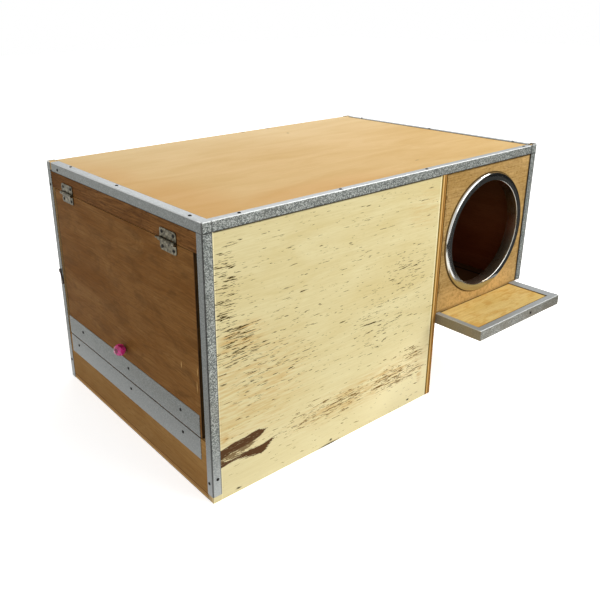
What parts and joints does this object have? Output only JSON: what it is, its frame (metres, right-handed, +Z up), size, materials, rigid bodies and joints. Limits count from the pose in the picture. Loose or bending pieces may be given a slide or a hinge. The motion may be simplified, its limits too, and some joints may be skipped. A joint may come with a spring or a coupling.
{
  "type": "parakeet nest box",
  "caption": "L-shaped plywood nest box with a deep nest chamber, a raised entrance chamber with a steel-lined round hole and ledge, and a top-hung flap door.",
  "frame": {"origin": "on the ground, under the middle of the nest chamber", "axes": "+X along the length from the door end to the entrance end, +Y from the front with the hole to the back, +Z up"},
  "size_m": [0.472, 0.357, 0.2643],
  "materials": {
    "varnished_ply": "tan varnished plywood",
    "raw_ply": "pale bare plywood with dark flecks",
    "dark_ply": "brown varnished plywood",
    "brown_ply": "light brown varnished plywood",
    "galvanised_steel": "spangled zinc",
    "hinge_steel": "plated steel, a little dull",
    "stainless_steel": "polished stainless steel",
    "pink_acrylic": "clear magenta acrylic, faceted",
    "dark_wire": "dark oxidised wire"
  },
  "bodies": {
    "box": {"top_panel": "varnished_ply", "front_panel": "raw_ply", "back_panel": "varnished_ply", "floor_panel": "varnished_ply", "divider_wall": "varnished_ply", "entrance_floor": "varnished_ply", "entrance_front": "varnished_ply", "entrance_back": "varnished_ply", "end_wall": "varnished_ply", "door_header": "dark_ply", "door_sill": "brown_ply", "sill_strip": "galvanised_steel", "door_catch": "dark_wire", "entrance_ring": "stainless_steel", "front_top_trim": "galvanised_steel", "door_end_top_trim": "galvanised_steel", "far_end_top_trim": "galvanised_steel", "door_front_corner_trim": "galvanised_steel", "door_back_corner_trim": "galvanised_steel", "far_front_corner_trim": "galvanised_steel", "far_back_corner_trim": "galvanised_steel", "ledge_front_trim": "galvanised_steel", "ledge_near_trim": "galvanised_steel", "ledge_far_trim": "galvanised_steel", "front_hinge_frame_leaf": "hinge_steel", "front_hinge_pin": "hinge_steel", "back_hinge_frame_leaf": "hinge_steel", "back_hinge_pin": "hinge_steel"},
    "door": {"door_panel": "dark_ply", "door_strip": "galvanised_steel", "door_pull": "pink_acrylic", "front_hinge_door_leaf": "hinge_steel", "back_hinge_door_leaf": "hinge_steel"}
  },
  "joints": [
    {"name": "door_hinge", "type": "hinge", "parent": "box", "child": "door", "pos_m": [-0.1514, 0, 0.2357], "axis": [0, 1, 0], "range_deg": [0, 165]}
  ]
}
